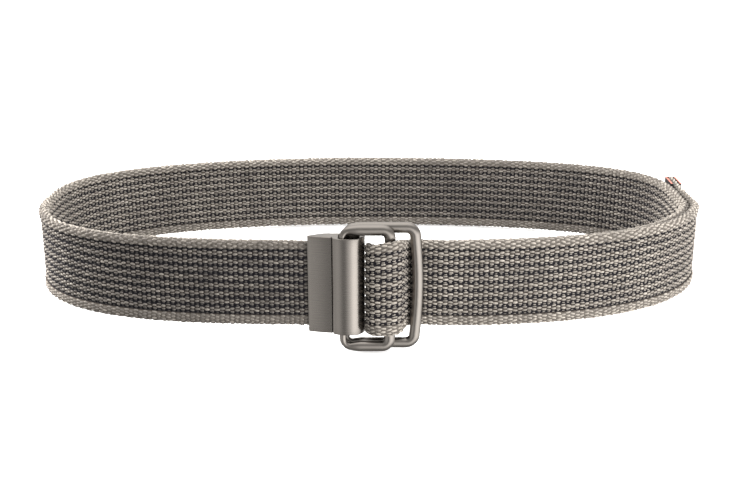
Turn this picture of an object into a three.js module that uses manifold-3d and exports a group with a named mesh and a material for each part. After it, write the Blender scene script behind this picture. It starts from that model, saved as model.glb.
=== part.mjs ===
// A canvas web belt, fastened in its own loop by a double-ring slide buckle.
// Built level, with the strap's lower edge at height 0, the loop's middle at the
// origin, +X along its length and -Y towards the buckle, then tipped as it rests:
// on the lower bar of the wide ring and on the back edge of the strap.

import * as THREE from 'three';
import { mergeVertices } from 'three/addons/utils/BufferGeometryUtils.js';
import Module from 'manifold-3d';

// Webbing, in millimetres
const webWidth = 38;
const webWall = 3;
const clampedWall = 2;
const selvedgeBevel = 0.8;
const layerPitch = 4.6;
const pressedPitch = 3.9;

// Loop, from its middle to the centre line of the inner layer
const loopLeft = 156.3;
const loopRight = 151.8;
const loopBackRight = 150.4;
const sideRun = 12;
const loopBack = 77.6;
const loopFrontLeft = 74.1;
const loopFrontRight = 68.4;

// Tail, along its centre line from the fold, and how far its end stands off
const tailLength = 240;
const tailStandOff = 5.5;
const standOffRun = 28;

// Squareness of each quarter of the loop, as the powers of a superellipse
const quarterPowers = {
  frontLeft: { across: 3.4, deep: 2.5 },
  backLeft: { across: 2.0, deep: 2.6 },
  backRight: { across: 2.0, deep: 3.5 },
  frontRight: { across: 3.3, deep: 2.0 },
};

// Clamp, whose plates hold the strap's first end and whose barrel holds the rings
const clampHeight = 43.3;
const clampRise = 0.35;
const clampLeft = 26.7;
const creaseLeft = 16.2;
const barrelWidth = 13.9;
const barrelBulge = 2.9;
const clampWall = 0.8;
const plateSpread = 2.2;
const backCornerRadius = 2;
const backPlateLeft = 20.3;
const leftEdgeDepth = 0.9;
const clampEdgeBevel = 0.2;
const boreInset = 2.6;
const boreRightWall = 2.2;
const slotGap = 0.3;
const clampForward = 0.8;
const mouthRun = 5;

// Rings of oval wire, each with a thinner pin inside the barrel
const ringHeight = 57.3;
const ringRise = -0.9;
const wireWidth = 4.8;
const wireDepth = 3.7;
const pinSize = 3;
const pinTaper = 7;
const ringGap = 0.35;
const cornerRadius = 3.5;
const narrowRingSpan = 20;
const wideRingSpan = 29.5;
const wideRingShift = 1.1;
const narrowLegBow = 0.3;
const wideLegBow = 1.25;

// Lie of the strap in the buckle
const legGap = 0.6;
const foldGap = 0.5;
const foldSlack = 0.9;
const mergeRun = 14;
const innerLowX = 95;

// Binding over the tail's end
const tabLength = 14;
const tabWall = 0.9;
const tabGap = 0.3;

// Height of the strap's centre line against level, and its extra width, at named places
const strapLie = [
  { place: 'start', rise: 0, spread: 0 },
  { place: 'rightSide', rise: 0, spread: 0 },
  { place: 'innerLow', rise: -1.6, spread: 0 },
  { place: 'merge', rise: -1.8, spread: 0 },
  { place: 'behindWideLeg', rise: -2.6, spread: 0 },
  { place: 'foldStart', rise: -2.7, spread: 0.2 },
  { place: 'fold', rise: -0.9, spread: 2 },
  { place: 'overNarrowLeg', rise: 0.6, spread: 3.8 },
  { place: 'underWideLeg', rise: -0.9, spread: 0.7 },
  { place: 'tailMerge', rise: -0.7, spread: 0.6 },
  { place: 'tailSide', rise: 0, spread: 0 },
  { place: 'tip', rise: 0, spread: 0 },
];

// Fineness of the facets
const quarterSteps = 90;
const loopStep = 6;
const buckleStep = 1.5;
const ringSides = 12;
const cornerSteps = 6;
const barSteps = 5;
const arcSteps = 14;

// Heights and depths that follow from the driving dimensions
const strapMiddle = webWidth / 2;
const clampMiddle = strapMiddle + clampRise;
const ringMiddle = strapMiddle + ringRise;
const clampedY = -loopFrontLeft - clampForward;
const plateInner = clampedWall / 2 + slotGap;
const plateOuter = plateInner + clampWall;
const clampBackY = clampedY + plateOuter;
const plateFrontY = clampedY - plateOuter;
const creaseY = plateFrontY - plateSpread;
const barrelFrontY = creaseY - barrelBulge;
const barrelMiddleX = -creaseLeft + barrelWidth / 2;
const barrelRightX = -creaseLeft + barrelWidth;
const boreLeftX = -creaseLeft + boreInset;
const boreRightX = barrelRightX - boreRightWall;
const boreCornerRadius = pinSize / 2 + ringGap;
const boreFrontY = barrelFrontY + clampWall;
const boreBackY = clampBackY - clampWall;
const narrowRingY = boreFrontY + ringGap + pinSize / 2;
const wideRingY = narrowRingY + Math.max(wireDepth, pinSize) + ringGap;
const narrowPinX = boreLeftX + ringGap + pinSize / 2;
const widePinX = narrowPinX + wideRingShift;
const narrowLeg = new THREE.Vector2(narrowPinX + narrowRingSpan, narrowRingY);
const wideLeg = new THREE.Vector2(widePinX + wideRingSpan, wideRingY);
const strapRound = wireWidth / 2 + legGap + webWall / 2;

const smooth = (t) => t * t * (3 - 2 * t);

// One quarter of the loop's centre line, between two parameter angles
function quarter(halfWidth, depth, powers, signX, signY, from, to) {
  const points = [];
  for (let i = 0; i <= quarterSteps; i += 1) {
    const angle = from + ((to - from) * i) / quarterSteps;
    const across = Math.abs(Math.cos(angle)) ** (2 / powers.across);
    const deep = Math.abs(Math.sin(angle)) ** (2 / powers.deep);
    points.push(new THREE.Vector2(signX * halfWidth * across, signY * depth * deep));
  }
  return points;
}

function arc(centre, radius, from, to, steps) {
  const points = [];
  for (let i = 0; i <= steps; i += 1) {
    const angle = from + ((to - from) * i) / steps;
    points.push(new THREE.Vector2(
      centre.x + radius * Math.cos(angle),
      centre.y + radius * Math.sin(angle),
    ));
  }
  return points;
}

// A smooth link between two points with given headings
function link(start, startHeading, end, endHeading, steps) {
  const reach = start.distanceTo(end) * 0.4;
  const curve = new THREE.CubicBezierCurve(
    start,
    start.clone().addScaledVector(startHeading, reach),
    end.clone().addScaledVector(endHeading, -reach),
    end,
  );
  return curve.getPoints(steps);
}

// Unit vector square to the line at each point, to the right of the way it runs
function sideVectors(points) {
  return points.map((point, i) => {
    const before = points[Math.max(i - 1, 0)];
    const after = points[Math.min(i + 1, points.length - 1)];
    const along = after.clone().sub(before).normalize();
    return new THREE.Vector2(along.y, -along.x);
  });
}

// The strap's centre line in plan, from the clamp round the waist and back as the tail.
// Each point may carry the name of its place.
function strapCentreLine() {
  const line = [];
  const add = (points, place) => {
    for (const point of points) {
      const last = line[line.length - 1];
      if (!last || last.distanceTo(point) > 0.01) {
        line.push(point);
      }
    }
    if (place) {
      line[line.length - 1].place = place;
    }
  };
  const right = Math.PI / 2;
  const ahead = new THREE.Vector2(1, 0);
  const back = new THREE.Vector2(-1, 0);

  // Clamped end, then round the waist
  const endX = -creaseLeft - slotGap;
  add([new THREE.Vector2(endX, clampedY)], 'start');
  add([new THREE.Vector2(-clampLeft, clampedY)], 'mouth');
  const frontLeft = quarter(
    loopLeft, loopFrontLeft, quarterPowers.frontLeft, -1, -1, right, 0,
  );
  add(frontLeft.filter((point) => point.x < -clampLeft - mouthRun));
  add(quarter(loopLeft, loopBack, quarterPowers.backLeft, -1, 1, 0, right));
  const backRight = quarter(
    loopBackRight, loopBack, quarterPowers.backRight, 1, 1, right, 0,
  ).filter((point) => point.y > sideRun);
  add(backRight, 'rightSide');
  const mergeX = wideLeg.x + mergeRun;
  const frontRight = quarter(
    loopRight, loopFrontRight, quarterPowers.frontRight, 1, -1, 0, right,
  ).filter((point) => point.x > mergeX && point.y < -sideRun);
  frontRight.find((point) => point.x < innerLowX).place = 'innerLow';
  add(frontRight, 'merge');

  // Behind the wide ring's leg, and across to the fold
  const outerRound = strapRound + pressedPitch;
  const between = wideLeg.clone().sub(narrowLeg);
  const slope = between.angle() + Math.asin((2 * strapRound) / between.length());
  const wrap = Math.PI - slope;
  const behindWide = new THREE.Vector2(wideLeg.x, wideLeg.y + outerRound);
  add(link(line[line.length - 1], back, behindWide, back, 10), 'behindWideLeg');
  const parting = right + wrap * 0.3;
  add(arc(wideLeg, outerRound, right, parting, 5));
  const foldRadius = strapRound * foldSlack + webWall / 2;
  const foldCentre = new THREE.Vector2(
    barrelRightX + foldGap + webWall / 2 + foldRadius,
    narrowLeg.y - strapRound + foldRadius,
  );
  const foldStart = new THREE.Vector2(foldCentre.x, foldCentre.y + foldRadius);
  const leave = new THREE.Vector2(-Math.sin(parting), Math.cos(parting));
  add(link(line[line.length - 1], leave, foldStart, back, 8), 'foldStart');
  add(arc(foldCentre, foldRadius, right, 2 * right, 8), 'fold');
  add(arc(foldCentre, foldRadius, 2 * right, 3 * right, 8));

  // Over the narrow ring's leg, then under the wide ring's leg
  add(arc(narrowLeg, strapRound, -right, -right + slope / 2, 5), 'overNarrowLeg');
  add(arc(narrowLeg, strapRound, -right + slope / 2, -right + slope, 5));
  add(arc(wideLeg, strapRound, right + slope, right, 8), 'underWideLeg');

  // The tail outside the strap, until its length is used up
  const tailBase = [...frontRight].reverse().concat([...backRight].reverse());
  const sides = sideVectors(tailBase);
  const first = tailBase[0].clone().addScaledVector(sides[0], layerPitch);
  add(link(line[line.length - 1], ahead, first, ahead, 10), 'tailMerge');
  const foldIndex = line.findIndex((point) => point.place === 'fold');
  let used = 0;
  for (let i = foldIndex + 1; i < line.length; i += 1) {
    used += line[i].distanceTo(line[i - 1]);
  }
  for (let i = 1; i < tailBase.length; i += 1) {
    const run = THREE.MathUtils.clamp((used - tailLength + standOffRun) / standOffRun, 0, 1);
    const offset = layerPitch + tailStandOff * run * run;
    const point = tailBase[i].clone().addScaledVector(sides[i], offset);
    const last = line[line.length - 1];
    const step = point.distanceTo(last);
    if (used + step > tailLength) {
      add([last.clone().lerp(point, (tailLength - used) / step)], 'tip');
      break;
    }
    used += step;
    add([point], i === frontRight.length - 1 ? 'tailSide' : null);
  }
  return line;
}

// Stations along the centre line, closer together at the clamp's mouth and in the buckle
function strapStations() {
  const line = strapCentreLine();
  const reach = [0];
  for (let i = 1; i < line.length; i += 1) {
    reach.push(reach[i - 1] + line[i].distanceTo(line[i - 1]));
  }
  const at = {};
  line.forEach((point, i) => {
    if (point.place) {
      at[point.place] = reach[i];
    }
  });
  const total = reach[reach.length - 1];
  const lie = strapLie.map((row) => ({ ...row, at: row.place === 'tip' ? total : at[row.place] }))
    .filter((row) => row.at !== undefined)
    .sort((a, b) => a.at - b.at);
  const sampleLie = (s, key) => {
    const next = lie.findIndex((row) => row.at >= s);
    if (next <= 0) {
      return lie[Math.max(next, 0)][key];
    }
    const from = lie[next - 1];
    const to = lie[next];
    return THREE.MathUtils.lerp(from[key], to[key], smooth((s - from.at) / (to.at - from.at)));
  };
  const samplePoint = (s) => {
    let i = 1;
    while (i < line.length - 1 && reach[i] < s) {
      i += 1;
    }
    return line[i - 1].clone().lerp(line[i], (s - reach[i - 1]) / (reach[i] - reach[i - 1]));
  };
  const fullFrom = at.mouth + mouthRun;
  const wallAt = (s) => {
    const share = THREE.MathUtils.clamp((s - at.mouth) / mouthRun, 0, 1);
    return THREE.MathUtils.lerp(clampedWall, webWall, smooth(share));
  };
  const spans = [
    { from: 0, to: at.mouth, step: loopStep },
    { from: at.mouth, to: fullFrom, step: buckleStep },
    { from: fullFrom, to: at.merge, step: loopStep },
    { from: at.merge, to: at.tailMerge, step: buckleStep },
    { from: at.tailMerge, to: total, step: loopStep },
  ];
  const places = [];
  spans.forEach((span, k) => {
    const count = Math.ceil((span.to - span.from) / span.step);
    for (let i = k === 0 ? 0 : 1; i <= count; i += 1) {
      places.push(span.from + ((span.to - span.from) * i) / count);
    }
  });
  const points = places.map(samplePoint);
  const sides = sideVectors(points);
  return places.map((s, i) => ({
    reach: s,
    point: points[i],
    side: sides[i],
    wall: wallAt(s),
    rise: sampleLie(s, 'rise'),
    spread: sampleLie(s, 'spread'),
  }));
}

// A closed body from rings of points that all have the same count.
// Each ring runs counter-clockwise seen from beyond the last one.
function skin(rings, closed) {
  const sides = rings[0].length;
  const positions = rings.flat().flatMap((p) => [p.x, p.y, p.z]);
  const faces = [];
  const last = closed ? rings.length : rings.length - 1;
  for (let i = 0; i < last; i += 1) {
    const here = i * sides;
    const there = ((i + 1) % rings.length) * sides;
    for (let j = 0; j < sides; j += 1) {
      const k = (j + 1) % sides;
      faces.push(here + j, here + k, there + k);
      faces.push(here + j, there + k, there + j);
    }
  }
  if (!closed) {
    const end = (rings.length - 1) * sides;
    for (let j = 1; j < sides - 1; j += 1) {
      faces.push(0, j + 1, j);
      faces.push(end, end + j, end + j + 1);
    }
  }
  const geometry = new THREE.BufferGeometry();
  geometry.setAttribute('position', new THREE.Float32BufferAttribute(positions, 3));
  geometry.setIndex(faces);
  return geometry;
}

// The strap's section at a station: a flat strip with bevelled selvedges
function strapSection(station) {
  const halfWidth = (webWidth + station.spread) / 2;
  const halfWall = station.wall / 2;
  const corners = [
    [halfWall - selvedgeBevel, -halfWidth],
    [-halfWall + selvedgeBevel, -halfWidth],
    [-halfWall, -halfWidth + selvedgeBevel],
    [-halfWall, halfWidth - selvedgeBevel],
    [-halfWall + selvedgeBevel, halfWidth],
    [halfWall - selvedgeBevel, halfWidth],
    [halfWall, halfWidth - selvedgeBevel],
    [halfWall, -halfWidth + selvedgeBevel],
  ];
  return corners.map(([out, up]) => new THREE.Vector3(
    station.point.x + station.side.x * out,
    station.point.y + station.side.y * out,
    strapMiddle + station.rise + up,
  ));
}

// One ring: a rounded rectangle of wire in its own upright plane
function ring(pinX, planeY, span, bow) {
  const halfHeight = (ringHeight - wireWidth) / 2;
  const low = ringMiddle - halfHeight;
  const high = ringMiddle + halfHeight;
  const legX = pinX + span;
  const r = cornerRadius;
  const path = [];
  const corner = (cx, cz, from) => {
    for (let i = 0; i <= cornerSteps; i += 1) {
      const angle = from + (Math.PI / 2) * (i / cornerSteps);
      path.push(new THREE.Vector2(cx + r * Math.cos(angle), cz + r * Math.sin(angle)));
    }
  };
  const straight = (from, to) => {
    for (let i = 1; i < barSteps; i += 1) {
      path.push(from.clone().lerp(to, i / barSteps));
    }
  };
  const points = {
    lowLeft: new THREE.Vector2(pinX + r, low),
    lowRight: new THREE.Vector2(legX - r, low),
    highRight: new THREE.Vector2(legX - r, high),
    highLeft: new THREE.Vector2(pinX + r, high),
  };
  corner(legX - r, low + r, -Math.PI / 2);
  straight(new THREE.Vector2(legX, low + r), new THREE.Vector2(legX, high - r));
  corner(legX - r, high - r, 0);
  straight(points.highRight, points.highLeft);
  corner(pinX + r, high - r, Math.PI / 2);
  corner(pinX + r, low + r, Math.PI);
  straight(points.lowLeft, points.lowRight);

  const bowed = path.map((p) => {
    const along = THREE.MathUtils.clamp((p.y - low) / (high - low), 0, 1);
    const share = THREE.MathUtils.clamp((p.x - legX + r) / r, 0, 1);
    return new THREE.Vector2(p.x + bow * share * Math.sin(Math.PI * along), p.y);
  });
  const rings = bowed.map((p, i) => {
    const before = bowed[(i + bowed.length - 1) % bowed.length];
    const after = bowed[(i + 1) % bowed.length];
    const along = after.clone().sub(before).normalize();
    const out = new THREE.Vector2(along.y, -along.x);
    const full = smooth(THREE.MathUtils.clamp((p.x - pinX) / pinTaper, 0, 1));
    const width = THREE.MathUtils.lerp(pinSize, wireWidth, full);
    const depth = THREE.MathUtils.lerp(pinSize, wireDepth, full);
    const section = [];
    for (let j = 0; j < ringSides; j += 1) {
      const angle = (2 * Math.PI * (j + 0.5)) / ringSides;
      const across = (width / 2) * Math.cos(angle);
      section.push(new THREE.Vector3(
        p.x + out.x * across,
        planeY + (depth / 2) * Math.sin(angle),
        p.y + out.y * across,
      ));
    }
    return section;
  });
  return skin(rings, true);
}

// An outline's points without the doubled ones where lines and arcs meet
function distinct(outline) {
  const points = outline.getPoints(arcSteps);
  return points.filter((point, i) => point.distanceTo(points.at(i - 1)) > 0.01);
}

// The clamp's section in plan: a long front plate, a shorter back plate behind it whose
// end slants to the front plate's edge, the barrel's front, and the bore for the pins
function clampShape() {
  const shape = new THREE.Shape();
  shape.moveTo(-clampLeft, plateFrontY);
  shape.lineTo(-creaseLeft, creaseY);
  shape.absellipse(
    barrelMiddleX, creaseY, barrelWidth / 2, barrelBulge, Math.PI, 2 * Math.PI, false,
  );
  shape.lineTo(barrelRightX, clampBackY - backCornerRadius);
  shape.absarc(
    barrelRightX - backCornerRadius, clampBackY - backCornerRadius,
    backCornerRadius, 0, Math.PI / 2, false,
  );
  shape.lineTo(-backPlateLeft, clampBackY);
  shape.lineTo(-clampLeft, plateFrontY + leftEdgeDepth);
  shape.closePath();

  const bore = new THREE.Path();
  const right = boreRightX;
  const r = boreCornerRadius;
  bore.moveTo(boreLeftX, boreFrontY + r);
  bore.absarc(boreLeftX + r, boreFrontY + r, r, Math.PI, 1.5 * Math.PI, false);
  bore.absarc(right - r, boreFrontY + r, r, 1.5 * Math.PI, 2 * Math.PI, false);
  bore.absarc(right - r, boreBackY - r, r, 0, 0.5 * Math.PI, false);
  bore.absarc(boreLeftX + r, boreBackY - r, r, 0.5 * Math.PI, Math.PI, false);
  const section = new THREE.Shape(distinct(shape));
  section.holes.push(new THREE.Path(distinct(bore)));
  return section;
}

const wasm = await Module();
wasm.setup();

function toSolid(source) {
  const bare = source.clone();
  bare.deleteAttribute('normal');
  bare.deleteAttribute('uv');
  const merged = mergeVertices(bare, 1e-4);
  return new wasm.Manifold(new wasm.Mesh({
    numProp: 3,
    vertProperties: new Float32Array(merged.attributes.position.array),
    triVerts: new Uint32Array(merged.index.array),
  }));
}

function toGeometry(solid) {
  const mesh = solid.getMesh();
  const geometry = new THREE.BufferGeometry();
  geometry.setAttribute('position', new THREE.BufferAttribute(mesh.vertProperties, 3));
  geometry.setIndex(new THREE.BufferAttribute(mesh.triVerts, 1));
  return geometry;
}

// The clamp with the slot that holds the strap's first end
function clamp() {
  const body = new THREE.ExtrudeGeometry(clampShape(), {
    depth: clampHeight - 2 * clampEdgeBevel,
    bevelEnabled: true,
    bevelThickness: clampEdgeBevel,
    bevelSize: clampEdgeBevel,
    bevelOffset: -clampEdgeBevel,
    bevelSegments: 1,
  });
  body.translate(0, 0, clampMiddle - clampHeight / 2 + clampEdgeBevel);
  const overrun = clampWall;
  const slotLength = clampLeft - creaseLeft + overrun;
  const slot = new THREE.BoxGeometry(slotLength, 2 * plateInner, webWidth + 2 * slotGap);
  slot.translate(-creaseLeft - slotLength / 2, clampedY, strapMiddle);
  return toGeometry(toSolid(body).subtract(toSolid(slot)));
}

// The binding, folded over the last stretch of the tail
function endTab(stations) {
  const total = stations[stations.length - 1].reach;
  const steps = 6;
  const points = [];
  for (let i = 0; i <= steps; i += 1) {
    const s = total - tabLength + (tabLength * i) / steps;
    let k = stations.findIndex((station) => station.reach >= s);
    k = k < 1 ? stations.length - 1 : k;
    const share = (s - stations[k - 1].reach) / (stations[k].reach - stations[k - 1].reach);
    points.push(stations[k - 1].point.clone().lerp(stations[k].point, share));
  }
  const sides = sideVectors(points);
  const beyond = points[steps].clone().sub(points[steps - 1]).normalize();
  const inner = webWall / 2 + tabGap;
  const outer = inner + tabWall;
  const offset = (i, out, ahead) => points[i].clone()
    .addScaledVector(sides[i], out)
    .addScaledVector(beyond, ahead);
  const outline = [];
  for (let i = 0; i <= steps; i += 1) {
    outline.push(offset(i, outer, 0));
  }
  outline.push(offset(steps, outer - tabWall / 3, tabGap + tabWall));
  outline.push(offset(steps, -outer + tabWall / 3, tabGap + tabWall));
  for (let i = steps; i >= 0; i -= 1) {
    outline.push(offset(i, -outer, 0));
  }
  for (let i = 0; i < steps; i += 1) {
    outline.push(offset(i, -inner, 0));
  }
  outline.push(offset(steps, -inner, tabGap));
  outline.push(offset(steps, inner, tabGap));
  for (let i = steps - 1; i >= 0; i -= 1) {
    outline.push(offset(i, inner, 0));
  }
  const geometry = new THREE.ExtrudeGeometry(new THREE.Shape(outline), {
    depth: webWidth,
    bevelEnabled: false,
  });
  return geometry;
}

function piece(name, geometry, look) {
  const mesh = new THREE.Mesh(geometry, new THREE.MeshStandardMaterial(look));
  mesh.name = name;
  return mesh;
}

const cottonLook = { color: 0x6e675f, roughness: 0.95, metalness: 0 };
const bindingLook = { color: 0x3f3b3c, roughness: 0.8, metalness: 0 };
const metalLook = { color: 0x8d8781, roughness: 0.38, metalness: 1 };

const stations = strapStations();
const belt = new THREE.Group();
belt.add(piece('webbing', skin(stations.map(strapSection), false), cottonLook));
belt.add(piece('end_tab', endTab(stations), bindingLook));
belt.add(piece('clamp_sleeve', clamp(), metalLook));
belt.add(piece(
  'ring_narrow', ring(narrowPinX, narrowRingY, narrowRingSpan, narrowLegBow), metalLook,
));
belt.add(piece('ring_wide', ring(widePinX, wideRingY, wideRingSpan, wideLegBow), metalLook));

// Tip the belt so that the wide ring's lower bar and the strap's back edge both touch
const ringLow = ringMiddle - ringHeight / 2;
const backEdgeY = loopBack + webWall / 2 - selvedgeBevel;
belt.rotation.x = -Math.atan2(-ringLow, backEdgeY - wideRingY);
belt.updateMatrixWorld(true);

// Stand it on the floor, with the origin under the middle of its box
const box = new THREE.Box3().setFromObject(belt, true);
belt.position.set(-(box.min.x + box.max.x) / 2, -(box.min.y + box.max.y) / 2, -box.min.z);

const part = new THREE.Group();
part.add(belt);

export default part;
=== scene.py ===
"""Looks for a canvas web belt with a double-ring slide buckle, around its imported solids.

Lengths are millimetres in the belt's own level frame until they are placed: strap lower
edge at height 0, loop middle at the origin, buckle towards -Y. place() tips and lifts
them into the row frame, in metres.
"""

import math

import bpy
import numpy as np
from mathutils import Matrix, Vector
from mathutils.geometry import tessellate_polygon


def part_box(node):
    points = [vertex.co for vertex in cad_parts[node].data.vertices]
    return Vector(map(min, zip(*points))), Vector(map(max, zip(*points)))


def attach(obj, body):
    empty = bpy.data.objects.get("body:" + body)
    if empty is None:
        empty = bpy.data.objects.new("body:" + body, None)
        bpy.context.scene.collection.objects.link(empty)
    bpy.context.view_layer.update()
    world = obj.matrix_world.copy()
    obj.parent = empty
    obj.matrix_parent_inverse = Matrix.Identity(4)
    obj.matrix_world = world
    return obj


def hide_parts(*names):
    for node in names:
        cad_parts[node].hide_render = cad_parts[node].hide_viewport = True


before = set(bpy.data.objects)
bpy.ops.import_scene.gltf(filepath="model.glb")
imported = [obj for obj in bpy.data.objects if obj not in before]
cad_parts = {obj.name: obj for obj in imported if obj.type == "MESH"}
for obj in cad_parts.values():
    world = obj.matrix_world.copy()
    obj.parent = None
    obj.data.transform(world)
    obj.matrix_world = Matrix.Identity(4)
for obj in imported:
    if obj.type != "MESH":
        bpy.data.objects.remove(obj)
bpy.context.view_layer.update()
rng = np.random.default_rng(11)

# Webbing
WEB_WIDTH = 38.0
WEB_WALL = 3.0
CLAMPED_WALL = 2.0
LAYER_PITCH = 4.6
PRESSED_PITCH = 3.9

# Loop, from its middle to the centre line of the inner layer
LOOP_LEFT = 156.3
LOOP_RIGHT = 151.8
LOOP_BACK_RIGHT = 150.4
SIDE_RUN = 12.0
LOOP_BACK = 77.6
LOOP_FRONT_LEFT = 74.1
LOOP_FRONT_RIGHT = 68.4

# Tail
TAIL_LENGTH = 240.0
TAIL_STAND_OFF = 5.5
STAND_OFF_RUN = 28.0

# Squareness of each quarter of the loop: powers of a superellipse
FRONT_LEFT = (3.4, 2.5)
BACK_LEFT = (2.0, 2.6)
BACK_RIGHT = (2.0, 3.5)
FRONT_RIGHT = (3.3, 2.0)

# Clamp
CLAMP_HEIGHT = 43.3
CLAMP_RISE = 0.35
CLAMP_LEFT = 26.7
CREASE_LEFT = 16.2
BARREL_WIDTH = 13.9
BARREL_BULGE = 2.9
CLAMP_WALL = 0.8
PLATE_SPREAD = 2.2
BACK_CORNER = 2.0
BACK_PLATE_LEFT = 20.3
LEFT_EDGE_DEPTH = 0.9
BORE_INSET = 2.6
BORE_RIGHT_WALL = 2.2
SLOT_GAP = 0.3
CLAMP_FORWARD = 0.8
MOUTH_RUN = 5.0

# Rings
RING_HEIGHT = 57.3
RING_RISE = -0.9
WIRE_WIDTH = 4.8
WIRE_DEPTH = 3.7
PIN_SIZE = 3.0
PIN_TAPER = 7.0
RING_GAP = 0.35
CORNER_RADIUS = 3.5
NARROW_SPAN = 20.0
WIDE_SPAN = 29.5
WIDE_SHIFT = 1.1
NARROW_BOW = 0.3
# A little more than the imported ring's bow, as the photo shows it
WIDE_BOW = 1.6

# Lie of the strap in the buckle
LEG_GAP = 0.6
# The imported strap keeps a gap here: this one presses into the barrel's right side
FOLD_GAP = -0.3
FOLD_SLACK = 0.9
MERGE_RUN = 14.0
INNER_LOW_X = 95.0

# Binding over the tail's end
TAB_LENGTH = 14.0
TAB_WALL = 0.9
TAB_GAP = 0.3

# Height of the strap's centre line against level, and its extra width, at named places
STRAP_LIE = {
    "start": (0, 0),
    "rightSide": (0, 0),
    "innerLow": (-1.6, 0),
    "merge": (-1.8, 0),
    "behindWideLeg": (-2.6, 0),
    "foldStart": (-2.7, 0.2),
    "fold": (-0.9, 2),
    "overNarrowLeg": (0.6, 3.8),
    "underWideLeg": (-0.9, 0.7),
    "tailMerge": (-0.7, 0.6),
    "tailSide": (0, 0),
    "tip": (0, 0),
}

# Weave: ribs between dark lines, light floats on them, light selvedges at both edges
RIB_COUNT = 8
RIB_PITCH = 3.66
RIB_LOW = 5.0
FLOAT_PERIOD = 4.35
# Half the ground's thickness in a groove, what a rib's crest adds, and its shape's power
GROOVE_HALF = 1.12
CREST_RISE = 0.43
CREST_POWER = 0.7
RIB_CLEAR = 0.9
# The rows of a rib: height from its middle, start in the period, length, width, how far
# out, how high, and the bend that makes the two middle rows one zigzag
BRIGHT_ROWS = (
    (0.36, 0.0, 2.45, 1.15, 1.48, 0.42, -0.13),
    (-0.37, 0.5, 2.45, 1.15, 1.48, 0.42, 0.08),
)
DIM_ROWS = (
    (1.02, 0.5, 2.15, 0.92, 1.38, 0.42, 0.0),
    (-1.02, 0.0, 2.15, 0.96, 1.38, 0.42, 0.0),
)
# The short yarns across the lines between the ribs
STEM_LENGTH = 1.5
STEM_WIDTH = 1.1
STEM_OUT = 1.01
STEM_HEIGHT = 0.34
# The selvedges are rolled a little thicker than the rest, and rounded over this depth
EDGE_HALF = 2.15
EDGE_DEPTH = 1.6
EDGE_ROUND = 1.5
EDGE_FLAT_ROUND = 0.1
# Their floats: rows at these depths from the edge on the faces, at these angles round it
EDGE_INSETS = {1: (2.95, 2.2), -1: (4.15, 3.45, 2.75, 2.05)}
EDGE_ANGLES = (0.16, 0.68, 1.2)
EDGE_SUNK = 0.15
EDGE_FLOAT = (2.4, 1.0, 0.42)
EDGE_START_SPREAD = 0.04
EDGE_SLANT_SPREAD = 0.17
TIP_CLEAR = 0.8
# How the selvedges thin down after the clamp's mouth and before the binding
MOUTH_ROLL = 20.0
TAB_ROLL = 15.0
# Differences from float to float: place along and up, size, height, slant and shade
ALONG_SPREAD = 0.1
UP_SPREAD = 0.055
SIZE_SPREAD = 0.08
HEIGHT_SPREAD = 0.05
SLANT_SPREAD = 0.08
SHADE_SPREAD = 0.06
# Where layers press on each other in the buckle the relief is lower by this share
RELIEF_LOSS = 0.3
RELIEF_RUN = 10.0
# Shades of the yarn on the two faces of the strap: -1 outside the loop, 1 inside it. The outside
# face's lower shades are painted shade, for the dimmer light on the loop's left front.
# A float's shade stays between 0 and 1, so one below 0 gives floats of shade 0.
BRIGHT_SHADE = {-1: 0.3, 1: 0.51}
DIM_SHADE = {-1: 0.2, 1: 0.42}
STEM_SHADE = {-1: -0.15, 1: 0.44}
EDGE_SHADE = {-1: 0.31, 1: 0.53}
# Behind, painted shade darkens the inner face towards the right: from and to these places along
# X, by this depth behind the middle, and only on the strap's first turn
BACK_PAINTED_SHADE = 0.17
BACK_SHADE_X = (-50, 50)
BACK_SHADE_Y = 40
BACK_SHADE_REACH = 700
MOST_TRIANGLES = 150000

# Details of the clamp: the groove of its crease, the bow of its front plate, where the
# barrel's roll leaves its first curve, and how far its edges are eased
CREASE_WIDTH = 0.27
CREASE_DEPTH = 1.3
PLATE_BOW = 0.2
PLATE_INSET = 0.5
PLATE_EDGE = 0.3
CORNER_EASE = 0.1
ROLL_FROM = 0.15
CLAMP_EASE = 0.22
CLAMP_STEP = 1.2

# Fineness of the curves
QUARTER_STEPS = 90
CORNER_STEPS = 14
LEG_STEPS = 40
BAR_STEPS = 16
RING_SIDES = 32
CORE_STEP = 1.9

STRAP_MIDDLE = WEB_WIDTH / 2
CLAMP_MIDDLE = STRAP_MIDDLE + CLAMP_RISE
RING_MIDDLE = STRAP_MIDDLE + RING_RISE
CLAMPED_Y = -LOOP_FRONT_LEFT - CLAMP_FORWARD
PLATE_INNER = CLAMPED_WALL / 2 + SLOT_GAP
PLATE_OUTER = PLATE_INNER + CLAMP_WALL
CLAMP_BACK_Y = CLAMPED_Y + PLATE_OUTER
PLATE_FRONT_Y = CLAMPED_Y - PLATE_OUTER
CREASE_Y = PLATE_FRONT_Y - PLATE_SPREAD
BARREL_FRONT_Y = CREASE_Y - BARREL_BULGE
BARREL_MIDDLE_X = -CREASE_LEFT + BARREL_WIDTH / 2
BARREL_RIGHT_X = -CREASE_LEFT + BARREL_WIDTH
BORE_LEFT_X = -CREASE_LEFT + BORE_INSET
BORE_RIGHT_X = BARREL_RIGHT_X - BORE_RIGHT_WALL
BORE_CORNER = PIN_SIZE / 2 + RING_GAP
BORE_FRONT_Y = BARREL_FRONT_Y + CLAMP_WALL
BORE_BACK_Y = CLAMP_BACK_Y - CLAMP_WALL
NARROW_Y = BORE_FRONT_Y + RING_GAP + PIN_SIZE / 2
WIDE_Y = NARROW_Y + max(WIRE_DEPTH, PIN_SIZE) + RING_GAP
NARROW_PIN_X = BORE_LEFT_X + RING_GAP + PIN_SIZE / 2
WIDE_PIN_X = NARROW_PIN_X + WIDE_SHIFT
NARROW_LEG = np.array([NARROW_PIN_X + NARROW_SPAN, NARROW_Y])
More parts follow.
